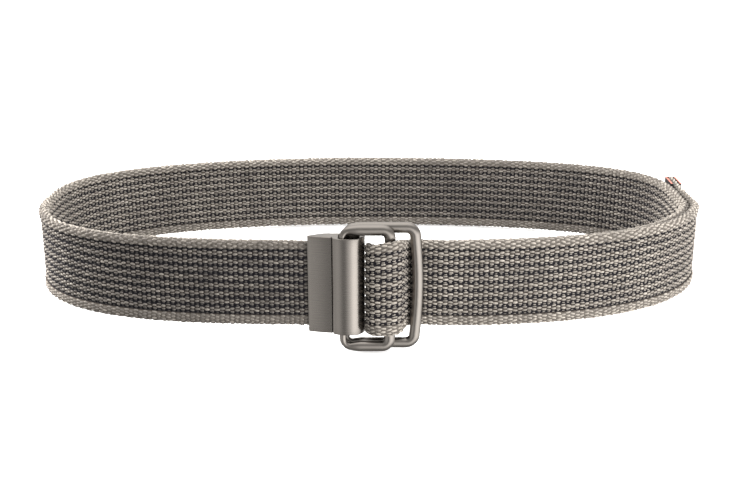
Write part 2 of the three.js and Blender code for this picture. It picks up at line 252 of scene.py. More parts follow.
WIDE_LEG = np.array([WIDE_PIN_X + WIDE_SPAN, WIDE_Y])
STRAP_ROUND = WIRE_WIDTH / 2 + LEG_GAP + WEB_WALL / 2

# The tilt at which the belt rests, and its place in the row frame
RING_LOW = RING_MIDDLE - RING_HEIGHT / 2
SELVEDGE_BEVEL = 0.8
TILT = -math.atan2(-RING_LOW, LOOP_BACK + WEB_WALL / 2 - SELVEDGE_BEVEL - WIDE_Y)
TIP = np.array(
    [
        [1, 0, 0],
        [0, math.cos(TILT), -math.sin(TILT)],
        [0, math.sin(TILT), math.cos(TILT)],
    ]
)


def find_shift():
    """Where the level frame's origin lies in the row frame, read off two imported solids."""
    low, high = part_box("ring_narrow")
    middle = (np.array(low) + np.array(high)) * 500
    shift = middle - TIP @ np.array([0, NARROW_Y, RING_MIDDLE])
    shift[0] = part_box("clamp_sleeve")[0][0] * 1000 + CLAMP_LEFT
    return shift


SHIFT = find_shift()


def place(points):
    """Level-frame points, in millimetres, to row-frame points, in metres."""
    return (np.asarray(points, float) @ TIP.T + SHIFT) / 1000


# Camera
CAMERA_AT = (2.0, -520.0, 180.0)
CAMERA_PITCH = 0.3167
FOCAL_PIXELS = 1100.0
FRAME_PIXELS = 750.0

camera_data = bpy.data.cameras.new("camera")
camera_data.sensor_width = 36.0
camera_data.lens = FOCAL_PIXELS / FRAME_PIXELS * camera_data.sensor_width
camera = bpy.data.objects.new("camera", camera_data)
camera.location = place([CAMERA_AT])[0]
camera.rotation_euler = (math.pi / 2 - CAMERA_PITCH + TILT, 0, 0)
bpy.context.scene.collection.objects.link(camera)
bpy.context.scene.camera = camera


def smooth(t):
    """Eases a share from 0 to 1, level at both ends."""
    return t * t * (3 - 2 * t)


# The strap's path
def quarter(half_width, depth, powers, sign_x, sign_y, start, end):
    """A quarter of a superellipse round the origin."""
    angle = np.linspace(start, end, QUARTER_STEPS + 1)
    across = np.abs(np.cos(angle)) ** (2 / powers[0])
    deep = np.abs(np.sin(angle)) ** (2 / powers[1])
    return np.stack([sign_x * half_width * across, sign_y * depth * deep], axis=1)


def arc(centre, radius, start, end, steps):
    """Points on an arc, both ends included."""
    angle = np.linspace(start, end, steps + 1)
    return np.stack(
        [centre[0] + radius * np.cos(angle), centre[1] + radius * np.sin(angle)], axis=1
    )


def link(start, start_heading, end, end_heading, steps):
    """A smooth curve between two points with given headings."""
    reach = np.linalg.norm(end - start) * 0.4
    a, b = start + reach * start_heading, end - reach * end_heading
    t = np.linspace(0, 1, steps + 1)[:, None]
    first = (1 - t) ** 3 * start + 3 * (1 - t) ** 2 * t * a
    return first + 3 * (1 - t) * t**2 * b + t**3 * end


def side_vectors(points):
    """Unit vectors square to the line, to the right of the way it runs."""
    along = np.empty_like(points)
    along[1:-1] = points[2:] - points[:-2]
    along[0] = points[1] - points[0]
    along[-1] = points[-1] - points[-2]
    along /= np.linalg.norm(along, axis=1, keepdims=True)
    return np.stack([along[:, 1], -along[:, 0]], axis=1)


def strap_line():
    """The strap's centre line in plan, and the index of each named place on it."""
    line = []
    places = {}

    def add(points, name=None):
        for point in points:
            if not line or np.linalg.norm(line[-1] - point) > 0.01:
                line.append(np.array(point, float))
        if name:
            places[name] = len(line) - 1

    quarter_turn = math.pi / 2
    ahead = np.array([1.0, 0.0])
    back = np.array([-1.0, 0.0])
    add([(-CREASE_LEFT - SLOT_GAP, CLAMPED_Y)], "start")
    add([(-CLAMP_LEFT, CLAMPED_Y)], "mouth")
    front_left = quarter(LOOP_LEFT, LOOP_FRONT_LEFT, FRONT_LEFT, -1, -1, quarter_turn, 0)
    add(front_left[front_left[:, 0] < -CLAMP_LEFT - MOUTH_RUN])
    add(quarter(LOOP_LEFT, LOOP_BACK, BACK_LEFT, -1, 1, 0, quarter_turn))
    back_right = quarter(LOOP_BACK_RIGHT, LOOP_BACK, BACK_RIGHT, 1, 1, quarter_turn, 0)
    back_right = back_right[back_right[:, 1] > SIDE_RUN]
    add(back_right, "rightSide")
    front_right = quarter(LOOP_RIGHT, LOOP_FRONT_RIGHT, FRONT_RIGHT, 1, -1, 0, quarter_turn)
    keep = (front_right[:, 0] > WIDE_LEG[0] + MERGE_RUN) & (front_right[:, 1] < -SIDE_RUN)
    front_right = front_right[keep]
    low_from = int(np.argmax(front_right[:, 0] < INNER_LOW_X))
    add(front_right[: low_from + 1], "innerLow")
    add(front_right[low_from + 1 :], "merge")

    outer_round = STRAP_ROUND + PRESSED_PITCH
    between = WIDE_LEG - NARROW_LEG
    slope = math.atan2(between[1], between[0])
    slope += math.asin(2 * STRAP_ROUND / np.linalg.norm(between))
    wrap = math.pi - slope
    behind = WIDE_LEG + np.array([0, outer_round])
    add(link(line[-1], back, behind, back, 10), "behindWideLeg")
    parting = quarter_turn + wrap * 0.3
    add(arc(WIDE_LEG, outer_round, quarter_turn, parting, 5))
    fold_radius = STRAP_ROUND * FOLD_SLACK + WEB_WALL / 2
    fold_centre = np.array(
        [
            BARREL_RIGHT_X + FOLD_GAP + WEB_WALL / 2 + fold_radius,
            NARROW_LEG[1] - STRAP_ROUND + fold_radius,
        ]
    )
    fold_start = fold_centre + np.array([0, fold_radius])
    leave = np.array([-math.sin(parting), math.cos(parting)])
    add(link(line[-1], leave, fold_start, back, 8), "foldStart")
    add(arc(fold_centre, fold_radius, quarter_turn, 2 * quarter_turn, 8), "fold")
    add(arc(fold_centre, fold_radius, 2 * quarter_turn, 3 * quarter_turn, 8))
    add(
        arc(NARROW_LEG, STRAP_ROUND, -quarter_turn, -quarter_turn + slope / 2, 5),
        "overNarrowLeg",
    )
    add(arc(NARROW_LEG, STRAP_ROUND, -quarter_turn + slope / 2, -quarter_turn + slope, 5))
    add(arc(WIDE_LEG, STRAP_ROUND, quarter_turn + slope, quarter_turn, 8), "underWideLeg")

    base = np.concatenate([front_right[::-1], back_right[::-1]])
    sides = side_vectors(base)
    first = base[0] + sides[0] * LAYER_PITCH
    add(link(line[-1], ahead, first, ahead, 10), "tailMerge")
    run_line = np.array(line[places["fold"] :])
    used = np.linalg.norm(np.diff(run_line, axis=0), axis=1).sum()
    for i in range(1, len(base)):
        run = min(max((used - TAIL_LENGTH + STAND_OFF_RUN) / STAND_OFF_RUN, 0), 1)
        point = base[i] + sides[i] * (LAYER_PITCH + TAIL_STAND_OFF * run * run)
        step = np.linalg.norm(point - line[-1])
        if used + step > TAIL_LENGTH:
            add([line[-1] + (point - line[-1]) * (TAIL_LENGTH - used) / step], "tip")
            break
        used += step
        add([point], "tailSide" if i == len(front_right) - 1 else None)
    return np.array(line), places


class Strap:
    """The strap's path, sampled every half millimetre and gently smoothed."""

    STEP = 0.5
    SMOOTHING = 3
    REACH = 2
    SKIP = 4
    OTHER_LAYER = 25
    TOUCHING = 1.5

    def __init__(self):
        line, places = strap_line()
        steps = np.linalg.norm(np.diff(line, axis=0), axis=1)
        reach = np.concatenate([[0], np.cumsum(steps)])
        self.at = {name: reach[i] for name, i in places.items()}
        self.total = reach[-1]
        count = int(self.total / self.STEP) + 1
        self.s = np.linspace(0, self.total, count)
        path = np.stack([np.interp(self.s, reach, line[:, k]) for k in (0, 1)], axis=1)
        for _ in range(self.SMOOTHING):
            inner = path.copy()
            for k in range(self.REACH, count - self.REACH):
                inner[k] = path[k - self.REACH : k + self.REACH + 1].mean(axis=0)
            path = inner
        self.path = path
        self.side = side_vectors(path)
        order = sorted(STRAP_LIE, key=lambda name: self.at[name])
        at = np.array([self.at[name] for name in order])
        lie = np.array([STRAP_LIE[name] for name in order], float)
        k = np.clip(np.searchsorted(at, self.s) - 1, 0, len(at) - 2)
        share = smooth(np.clip((self.s - at[k]) / (at[k + 1] - at[k]), 0, 1))
        self.rise = lie[k, 0] + (lie[k + 1, 0] - lie[k, 0]) * share
        self.spread = lie[k, 1] + (lie[k + 1, 1] - lie[k, 1]) * share
        grown = smooth(np.clip((self.s - self.at["mouth"]) / MOUTH_RUN, 0, 1))
        self.wall = CLAMPED_WALL + (WEB_WALL - CLAMPED_WALL) * grown
        near = np.minimum(
            np.clip((self.s - self.at["merge"] + RELIEF_RUN) / RELIEF_RUN, 0, 1),
            np.clip((self.at["tailMerge"] + RELIEF_RUN - self.s) / RELIEF_RUN, 0, 1),
        )
        self.relief = 1 - RELIEF_LOSS * smooth(near)
        self.covered = {sign: self.find_covered(sign) for sign in (-1, 1)}

    def find_covered(self, sign):
        """Where another layer of the strap lies against this face."""
        probe = self.path + self.side * sign * LAYER_PITCH
        result = np.zeros(len(self.s), bool)
        coarse = self.path[:: self.SKIP]
        coarse_s = self.s[:: self.SKIP]
        for i in range(0, len(self.s), self.SKIP):
            far = np.abs(coarse_s - self.s[i]) > self.OTHER_LAYER
            gap = np.linalg.norm(coarse[far] - probe[i], axis=1).min()
            result[i : i + self.SKIP] = gap < self.TOUCHING
        return result

    def point(self, s, out, up):
        """Row-frame points at reach s, out from the centre plane, up from the lower edge."""
        pos = np.stack([np.interp(s, self.s, self.path[:, k]) for k in (0, 1)], axis=-1)
        side = np.stack([np.interp(s, self.s, self.side[:, k]) for k in (0, 1)], axis=-1)
        side /= np.linalg.norm(side, axis=-1, keepdims=True)
        rise = np.interp(s, self.s, self.rise)
        widen = 1 + np.interp(s, self.s, self.spread) / WEB_WIDTH
        high = STRAP_MIDDLE + rise + (up - STRAP_MIDDLE) * widen
        xy = pos + side * np.asarray(out)[..., None]
        return place(np.concatenate([xy, high[..., None]], axis=-1).reshape(-1, 3))


strap = Strap()


# Meshes
def make_mesh(name, points, faces, tone=None, flat=False):
    """A mesh object from an array of points and a list of equal-sided face arrays."""
    mesh = bpy.data.meshes.new(name)
    mesh.vertices.add(len(points))
    mesh.vertices.foreach_set("co", np.asarray(points, np.float32).ravel())
    loops = np.concatenate([np.asarray(f, np.int32).ravel() for f in faces])
    sizes = np.concatenate([np.full(len(f), np.shape(f)[1], np.int32) for f in faces])
    starts = np.concatenate([[0], np.cumsum(sizes)[:-1]]).astype(np.int32)
    mesh.loops.add(len(loops))
    mesh.loops.foreach_set("vertex_index", loops)
    mesh.polygons.add(len(sizes))
    mesh.polygons.foreach_set("loop_start", starts)
    mesh.update(calc_edges=True)
    mesh.polygons.foreach_set("use_smooth", np.full(len(sizes), not flat))
    for key, values in (tone or {}).items():
        attribute = mesh.attributes.new(key, "FLOAT", "POINT")
        attribute.data.foreach_set("value", np.asarray(values, np.float32))
    mesh.validate()
    obj = bpy.data.objects.new(name, mesh)
    bpy.context.scene.collection.objects.link(obj)
    return obj


def grid_faces(rows, columns, wrap_rows=False, wrap_columns=True):
    """Quads over a grid of points, row by row."""
    r = np.arange(rows if wrap_rows else rows - 1)
    c = np.arange(columns if wrap_columns else columns - 1)
    r, c = np.meshgrid(r, c, indexing="ij")
    r2, c2 = (r + 1) % rows, (c + 1) % columns
    quads = np.stack(
        [r * columns + c, r * columns + c2, r2 * columns + c2, r2 * columns + c], axis=-1
    )
    return quads.reshape(-1, 4)


def rib_swell(up):
    """0 in the dark lines between ribs, 1 on a rib's crest and over the selvedges."""
    turn = (np.asarray(up, float) - RIB_LOW) / RIB_PITCH
    inside = (turn > 0) & (turn < RIB_COUNT)
    wave = np.abs(np.sin(math.pi * turn)) ** CREST_POWER
    near = np.minimum(np.abs(turn), np.abs(turn - RIB_COUNT)) * RIB_PITCH
    return np.where(inside, wave, smooth(np.clip(near / RIB_CLEAR, 0, 1)))


def rolled(s):
    """The selvedges' thickness as a share of the full one: less in the buckle and binding."""
    loose = (np.interp(s, strap.s, strap.relief) - (1 - RELIEF_LOSS)) / RELIEF_LOSS
    from_mouth = smooth(np.clip((s - strap.at["mouth"]) / MOUTH_ROLL, 0, 1))
    from_tab = smooth(np.clip((strap.total - TAB_LENGTH - s) / TAB_ROLL, 0, 1))
    flat = WEB_WALL / 2
    return (flat + (EDGE_HALF - flat) * loose * from_mouth * from_tab) / EDGE_HALF


def core_profile():
    """(out, up) points round the strap's section, anticlockwise from the outer lower edge."""
    ups = [2.0, 3.4, 4.3]
    for k in range(RIB_COUNT):
        ups += [RIB_LOW + RIB_PITCH * (k + share) for share in (0, 0.22, 0.5, 0.78)]
    last = RIB_LOW + RIB_PITCH * RIB_COUNT
    ups += [last, last + 0.7, last + 1.6, WEB_WIDTH - 2.0]
    ups = np.array(ups)
    half = GROOVE_HALF + CREST_RISE * rib_swell(ups)
    half = np.where((ups < RIB_LOW) | (ups > last), half + EDGE_HALF - EDGE_DEPTH, half)
    edge = np.linspace(0, math.pi, 8)[1:-1]
    rim = EDGE_HALF - EDGE_FLAT_ROUND
    deep = EDGE_ROUND * np.sin(edge)
    top = np.stack([rim * np.cos(edge), WEB_WIDTH - EDGE_DEPTH + deep], axis=1)
    bottom = np.stack([-rim * np.cos(edge), EDGE_DEPTH - deep], axis=1)
    face = np.stack([half, ups], axis=1)
    behind = np.stack([-half, ups], axis=1)[::-1]
    return np.concatenate([face, top, behind, bottom])


def make_core():
    """The dark ground of the weave, one ribbed strip."""
    profile = core_profile()
    count = int(strap.total / CORE_STEP)
    s = np.linspace(0, strap.total, count + 1)
    wall = np.interp(s, strap.s, strap.wall) / WEB_WALL
    relief = np.interp(s, strap.s, strap.relief)
    out = profile[None, :, 0] * wall[:, None] * (0.9 + 0.1 * relief[:, None])
    up = np.broadcast_to(profile[None, :, 1], out.shape)
    on_edge = (up < RIB_LOW - 0.1) | (up > RIB_LOW + RIB_PITCH * RIB_COUNT + 0.1)
    out = np.where(on_edge, out * rolled(s)[:, None], out)
    along = np.broadcast_to(s[:, None], out.shape)
    points = strap.point(along, out, up)
    n = len(profile)
    quads = grid_faces(len(s), n)[:, ::-1]
    ends = np.stack([points[:n].mean(axis=0), points[-n:].mean(axis=0)])
    a = len(points)
    b = a + 1
    k = np.arange(n)
    k2 = (k + 1) % n
    last = (len(s) - 1) * n
    start_cap = np.stack([k, k2, np.full(n, a)], axis=1)
    end_cap = np.stack([last + k2, last + k, np.full(n, b)], axis=1)
    points = np.concatenate([points, ends])
    tone = {
        "along": np.concatenate([along.ravel(), [0, strap.total]]),
        "up": np.concatenate([up.ravel(), [STRAP_MIDDLE, STRAP_MIDDLE]]),
        "inner": np.concatenate([(out > 0).ravel(), [0, 0]]),
    }
    caps = np.concatenate([start_cap, end_cap])
    return make_mesh("web_ground", points, [quads, caps], tone)


def grain_template(sides, stations):
    """One yarn float: (t along -1..1, y across, z out) for unit sizes, and its triangles."""
    swell = np.sqrt(1 - np.square(stations) * 0.86)
    angle = (np.arange(sides) + 0.5) * 2 * math.pi / sides
    rings = [
        np.stack([np.full(sides, t), w * np.cos(angle), w * np.sin(angle)], axis=1)
        for t, w in zip(stations, swell)
    ]
    points = np.concatenate([[[-1.0, 0, 0]], *rings, [[1.0, 0, 0]]])
    tris = []
    end = 1 + sides * len(stations)
    for k in range(sides):
        k2 = (k + 1) % sides
        tris.append((0, 1 + k2, 1 + k))
        tris.append((end, end - sides + k, end - sides + k2))
        for r in range(len(stations) - 1):
            a, b = 1 + r * sides, 1 + (r + 1) * sides
            tris.append((a + k, a + k2, b + k2))
            tris.append((a + k, b + k2, b + k))
    return points, np.array(tris)


FULL_GRAIN = grain_template(6, (-0.72, 0.0, 0.72))
SMALL_GRAIN = grain_template(6, (-0.62, 0.62))


def make_floats(name, floats, grain):
    """Many yarn floats in one mesh. Each row of floats is s, up, out, turn (direction the
    float faces in the section, as an angle from +out towards +up), length, width, height,
    slant, bend, shade.
    """
    points, tris = grain
    s0, up0, out0, turn, length, width, height, slant, bend, shade = floats.T[:, :, None]
    t = points[None, :, 0]
    y = points[None, :, 1] * width / 2
    z = points[None, :, 2] * height
    dip = -0.45 * height * t**4
    along = t * length / 2
    ds = along * np.cos(slant) - y * np.sin(slant)
    dy = along * np.sin(slant) + y * np.cos(slant) + bend * t**2
    dz = z + dip
    up = up0 + dy * np.cos(turn) + dz * np.sin(turn)
    out = out0 - dy * np.sin(turn) + dz * np.cos(turn)
    offsets = np.arange(len(floats))[:, None, None] * len(points)
    faces = (tris[None] + offsets).reshape(-1, 3)
    tone = {"shade": np.repeat(floats[:, 9], len(points))}
    return make_mesh(name, strap.point(s0 + ds, out, up), [faces], tone)


def row(s, up, out, turn, length, width, height, slant, bend, light):
    """Floats along one thread line, with small seeded differences between them."""
    n = len(s)
    cells = np.empty((n, 10))
    cells[:, 0] = s + rng.normal(0, ALONG_SPREAD, n)
    cells[:, 1] = up + rng.normal(0, UP_SPREAD, n)
    cells[:, 2] = out
    cells[:, 3] = turn
    cells[:, 4] = length * (1 + rng.normal(0, SIZE_SPREAD, n))
    cells[:, 5] = width * (1 + rng.normal(0, SIZE_SPREAD, n))
    cells[:, 6] = height * (1 + rng.normal(0, HEIGHT_SPREAD, n))
    cells[:, 7] = slant + rng.normal(0, SLANT_SPREAD, n)
    cells[:, 8] = bend
    cells[:, 9] = np.clip(light + rng.normal(0, SHADE_SPREAD, n), 0, 1)
    return cells


def kept(s, sign, on_face=True):
    """Which places along a row are open to view and clear of the clamp and the binding."""
    covered = np.interp(s, strap.s, strap.covered[sign]) > 0.5
    bound = s > strap.total - TAB_LENGTH - 0.5
    return (s > strap.at["mouth"] - 0.6) & ~(covered & on_face) & ~(bound & on_face)


def thickness(s):
    """The wall's share of its full size, and the height of the floats there."""
    wall = np.interp(s, strap.s, strap.wall) / WEB_WALL
    relief = np.interp(s, strap.s, strap.relief)
    return wall, relief * (0.4 + 0.6 * wall)


def painted_back_shade(s, sign):
    """How much painted shade darkens the yarn on the loop's inner face behind, growing to the
    right.
    """
    x = np.interp(s, strap.s, strap.path[:, 0])
    y = np.interp(s, strap.s, strap.path[:, 1])
    low, high = BACK_SHADE_X
    rightward = smooth(np.clip((x - low) / (high - low), 0, 1))
    behind = smooth(np.clip(y / BACK_SHADE_Y, 0, 1))
    return BACK_PAINTED_SHADE * rightward * behind * (sign > 0) * (s < BACK_SHADE_REACH)


def rib_rows(rows, shades):
    """Rows of floats on each rib, like bricks, in step from rib to rib."""
    cells = []
    for sign in (1, -1):
        facing = 0.0 if sign > 0 else math.pi
        for k in range(RIB_COUNT):
            middle = RIB_LOW + RIB_PITCH * (k + 0.5)
            for offset, start, length, width, lift, high, bend in rows:
                s = np.arange(start, strap.total / FLOAT_PERIOD) * FLOAT_PERIOD
                wall, height = thickness(s)
                out = sign * wall * lift
                up = middle + offset
                high = high * height
                # Both terms hold painted shade: a darker outside face, and a darker inner face
                # behind towards the right
                shade = shades[sign] - painted_back_shade(s, sign)
                new = row(s, up, out, facing, length, width, high, 0, bend * sign, shade)
                cells.append(new[kept(s, sign)])
    return cells


def groove_rows():
    """Short yarns across the dark line at each side of every rib, two to a period."""
    cells = []
    for sign in (1, -1):
        facing = 0.0 if sign > 0 else math.pi
        for k in range(RIB_COUNT + 1):
            s = np.arange(0, strap.total, FLOAT_PERIOD / 2)
            wall, height = thickness(s)
            up = RIB_LOW + RIB_PITCH * k
            out = sign * wall * STEM_OUT
            high = STEM_HEIGHT * height
            # Both terms hold painted shade: a darker outside face, and a darker inner face
            # behind towards the right
            shade = STEM_SHADE[sign] - painted_back_shade(s, sign)
            new = row(s, up, out, facing, STEM_LENGTH, STEM_WIDTH, high, 0, 0, shade)
            cells.append(new[kept(s, sign)])
    return cells


def edge_rows():
    """The pale selvedges: rows of floats on both faces and round both edges of the strap."""
    cells = []
    length, width, full_height = EDGE_FLOAT
    for edge, insets in EDGE_INSETS.items():
        base = WEB_WIDTH if edge > 0 else 0.0
        lanes = [(base - edge * inset, EDGE_HALF - EDGE_SUNK, 0.0) for inset in insets]
        for angle in EDGE_ANGLES:
            up = base - edge * (EDGE_ROUND - EDGE_ROUND * math.sin(angle))
            lanes.append((up, EDGE_HALF * math.cos(angle), edge * angle))
        lanes.append((base, 0.0, edge * math.pi / 2))
        for number, (up, out, turn) in enumerate(lanes):
            for sign in (1, -1):
                if out == 0 and sign < 0:
                    continue
                start = 0.5 * (number % 2) + rng.normal(0, EDGE_START_SPREAD)
                s = np.arange(start, strap.total / FLOAT_PERIOD) * FLOAT_PERIOD
                wall, height = thickness(s)
                facing = turn if sign > 0 else math.pi - turn
                # Both terms hold painted shade: a darker outside face, and a darker inner face
                # behind towards the right
                shade = EDGE_SHADE[sign] - painted_back_shade(s, sign)
                wall = wall * rolled(s)
                high = full_height * height
                new = row(s, up, sign * out * wall, facing, length, width, high, 0, 0, shade)
                new[:, 7] += rng.normal(0, EDGE_SLANT_SPREAD, len(s))
                on_face = abs(turn) < 0.5
                cells.append(new[kept(s, sign, on_face) & (s < strap.total - TIP_CLEAR)])
    return cells


def split_floats(stem, cells, grain):
    """Splits floats by their reach into pieces of at most MOST_TRIANGLES."""
    cells = np.concatenate(cells)
    cells = cells[np.argsort(cells[:, 0])]
    parts = math.ceil(len(cells) * len(grain[1]) / MOST_TRIANGLES)
    return [
        make_floats(f"{stem}_{i + 1}", part, grain)
        for i, part in enumerate(np.array_split(cells, parts))
    ]


# Metal
def make_ring(name, pin_x, plane_y, span, bow):
    """A rounded rectangle of oval wire in an upright plane."""
    half = (RING_HEIGHT - WIRE_WIDTH) / 2
    low, high = RING_MIDDLE - half, RING_MIDDLE + half
    leg_x = pin_x + span
    r = CORNER_RADIUS
    corners = [
        (leg_x - r, low + r, -math.pi / 2),
        (leg_x - r, high - r, 0),
        (pin_x + r, high - r, math.pi / 2),
        (pin_x + r, low + r, math.pi),
    ]
    path = []
    for i, (cx, cz, start) in enumerate(corners):
        path.append(arc((cx, cz), r, start, start + math.pi / 2, CORNER_STEPS))
        nx, nz, next_start = corners[(i + 1) % 4]
        there = np.array([nx + r * math.cos(next_start), nz + r * math.sin(next_start)])
        steps = LEG_STEPS if i % 2 == 0 else BAR_STEPS
        here = path[-1][-1]
        path.append(here + np.linspace(0, 1, steps)[1:-1, None] * (there - here))
    path = np.concatenate(path)
    climb = np.clip((path[:, 1] - low) / (high - low), 0, 1)
    share = np.clip((path[:, 0] - leg_x + r) / r, 0, 1)
    path[:, 0] += bow * share * np.sin(math.pi * climb)
    along = np.roll(path, -1, axis=0) - np.roll(path, 1, axis=0)
    along /= np.linalg.norm(along, axis=1, keepdims=True)
    out = np.stack([along[:, 1], -along[:, 0]], axis=1)
    full = smooth(np.clip((path[:, 0] - pin_x) / PIN_TAPER, 0, 1))
    width = PIN_SIZE + (WIRE_WIDTH - PIN_SIZE) * full
    depth = PIN_SIZE + (WIRE_DEPTH - PIN_SIZE) * full
    angle = np.arange(RING_SIDES) * 2 * math.pi / RING_SIDES
    across = width[:, None] / 2 * np.cos(angle)
    rings = np.stack(
        [
            path[:, None, 0] + out[:, None, 0] * across,
            plane_y + depth[:, None] / 2 * np.sin(angle),
            path[:, None, 1] + out[:, None, 1] * across,
        ],
        axis=-1,
    )
    faces = grid_faces(len(path), RING_SIDES, wrap_rows=True)
    return make_mesh(name, place(rings.reshape(-1, 3)), [faces])


def clamp_outline():
    """The clamp's section in plan, anticlockwise, with a fine crease beside the barrel."""
    t = np.linspace(0, 1, 13)
    left = -CLAMP_LEFT + PLATE_INSET
    right = -CREASE_LEFT - CREASE_WIDTH
    level = PLATE_FRONT_Y - CORNER_EASE + (CORNER_EASE - PLATE_SPREAD) * t
    bowed = level - PLATE_BOW * 4 * t * (1 - t)
    plate = np.stack([left + (right - left) * t, bowed], axis=1)
    groove = np.array([[right + CREASE_WIDTH * 0.75, CREASE_Y + CREASE_DEPTH]])
    points = [plate, groove]
    half = BARREL_WIDTH / 2
    angle = np.linspace(math.pi + 0.2, 2 * math.pi - math.acos(ROLL_FROM), 30)
    bulge = np.stack(
        [BARREL_MIDDLE_X + half * np.cos(angle), CREASE_Y + BARREL_BULGE * np.sin(angle)], axis=1
    )
    points.append(bulge)
    slope = ROLL_FROM / math.sqrt(1 - ROLL_FROM**2) * BARREL_BULGE / half
    lean = math.atan(slope)
    radius = half * (1 - ROLL_FROM) / (1 - math.sin(lean))
    centre = bulge[-1] + radius * np.array([-math.sin(lean), math.cos(lean)])
    points.append(arc(centre, radius, lean - math.pi / 2, 0, 24))
    corner = (BARREL_RIGHT_X - BACK_CORNER, CLAMP_BACK_Y - BACK_CORNER)
    points.append(arc(corner, BACK_CORNER, 0, math.pi / 2, 10))
    points.append(
        np.array(
            [
                [-BACK_PLATE_LEFT, CLAMP_BACK_Y],
                [-CLAMP_LEFT + CORNER_EASE, PLATE_FRONT_Y + LEFT_EDGE_DEPTH + CORNER_EASE],
                [-CLAMP_LEFT, PLATE_FRONT_Y + LEFT_EDGE_DEPTH - CORNER_EASE],
                [-CLAMP_LEFT, PLATE_FRONT_Y + PLATE_EDGE],
            ]
        )
    )
    outline = np.concatenate(points)
    gap = np.linalg.norm(outline - np.roll(outline, 1, axis=0), axis=1)
    return outline[gap > 0.01]


def bore_outline():
    """The rounded hole for the rings' pins, anticlockwise in plan."""
    r = BORE_CORNER
    centres = [
        (BORE_LEFT_X + r, BORE_FRONT_Y + r, math.pi),
        (BORE_RIGHT_X - r, BORE_FRONT_Y + r, 1.5 * math.pi),
        (BORE_RIGHT_X - r, BORE_BACK_Y - r, 0),
        (BORE_LEFT_X + r, BORE_BACK_Y - r, 0.5 * math.pi),
    ]
    return np.concatenate([arc((x, y), r, a, a + math.pi / 2, 10) for x, y, a in centres])


def inset(outline, distance):
    """The outline moved inwards, for an anticlockwise outline."""
    along = np.roll(outline, -1, axis=0) - np.roll(outline, 1, axis=0)
    along /= np.linalg.norm(along, axis=1, keepdims=True)
    inward = np.stack([-along[:, 1], along[:, 0]], axis=1)
    return outline + inward * distance


def resample(outline, step):
    """Adds points on long sides so that edges stay short."""
    result = []
    for a, b in zip(outline, np.roll(outline, -1, axis=0)):
        pieces = max(int(np.linalg.norm(b - a) / step), 1)
        result += [a + (b - a) * k / pieces for k in range(pieces)]
    return np.array(result)


def make_clamp():
    """The folded clamp: outer skin with eased edges, bore for the pins, capped ends.

    It is closed inside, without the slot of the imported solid: the strap's end runs into it.
    """
    outer = resample(clamp_outline(), CLAMP_STEP)
    bore = bore_outline()
    ease = CLAMP_EASE
    low = CLAMP_MIDDLE - CLAMP_HEIGHT / 2
    high = CLAMP_MIDDLE + CLAMP_HEIGHT / 2
    quarter_turn = np.linspace(0, math.pi / 2, 4)
    levels = []
    for a in quarter_turn:
        levels.append((low + ease - ease * math.cos(a), ease - ease * math.sin(a)))
    for z in np.linspace(low + ease, high - ease, 12)[1:-1]:
        levels.append((z, 0.0))
    for a in quarter_turn:
        levels.append((high - ease + ease * math.sin(a), ease - ease * math.cos(a)))
    points = []
    faces = []

    def wall(outline, sign, flip):
        start = len(points)
        for z, shrink in levels:
            for x, y in inset(outline, sign * shrink):
                points.append((x, y, z))
        quads = grid_faces(len(levels), len(outline)) + start
        faces.append(quads[:, ::-1] if flip else quads)
        return start

    outer_start = wall(outer, 1, False)
    bore_start = wall(bore, -1, True)
    top = len(levels) - 1
    tris = []
    for level, flip in ((0, True), (top, False)):
        outer_index = [outer_start + level * len(outer) + k for k in range(len(outer))]
        bore_index = [bore_start + level * len(bore) + k for k in range(len(bore))]
        a = [Vector((*points[i][:2], 0)) for i in outer_index]
        b = [Vector((*points[i][:2], 0)) for i in bore_index]
        index = outer_index + bore_index
        for tri in tessellate_polygon([a, b[::-1]]):
            tri = [t if t < len(a) else len(a) + len(b) - 1 - (t - len(a)) for t in tri]
            p = [a[t] if t < len(a) else b[t - len(a)] for t in tri]
            area = (p[1] - p[0]).cross(p[2] - p[0]).z
            upward = area > 0
            real = [index[t] for t in tri]
            tris.append(real if upward != flip else real[::-1])
    faces.append(np.array(tris))
    clamp = make_mesh("clamp", place(np.array(points)), faces)
    clamp.data.set_sharp_from_angle(angle=math.radians(35))
    return clamp


# Binding
def make_tab():
    """The binding folded over the tail's end: a U of thin cloth, open at top and bottom."""
    inner = WEB_WALL / 2 + TAB_GAP
    outer = inner + TAB_WALL
    s = np.linspace(strap.total - TAB_LENGTH, strap.total, 15)
    path = np.stack([np.interp(s, strap.s, strap.path[:, k]) for k in (0, 1)], axis=1)
    side = np.stack([np.interp(s, strap.s, strap.side[:, k]) for k in (0, 1)], axis=1)
    end = path[-1]
    ahead = np.array([-side[-1][1], side[-1][0]])
    turn = np.linspace(math.pi / 2, -math.pi / 2, 9)[1:-1]

    def line(radius, reach):
        first = path + side * radius
        nose = [
            end + side[-1] * radius * math.sin(a) + ahead * reach * math.cos(a) for a in turn
        ]
        last = (path - side * radius)[::-1]
        return np.concatenate([first, nose, last])

    outside = line(outer, TAB_GAP + TAB_WALL)
    inside = line(inner, TAB_GAP)
    loop = np.concatenate([outside, inside[::-1]])
    rim = 0.15
    ups = np.array([0.0, rim, STRAP_MIDDLE, WEB_WIDTH - rim, WEB_WIDTH])
    n = len(loop)
    points = np.array([(x, y, z) for z in ups for x, y in loop])
    quads = grid_faces(len(ups), n)
    half = len(outside)
    k = np.arange(half - 1)
    top = (len(ups) - 1) * n
    lid = np.stack([top + k, top + k + 1, top + n - 2 - k, top + n - 1 - k], axis=1)
    floor_faces = np.stack([k, n - 1 - k, n - 2 - k, k + 1], axis=1)
    return make_mesh("end_binding", place(points), [quads, lid, floor_faces], flat=True)


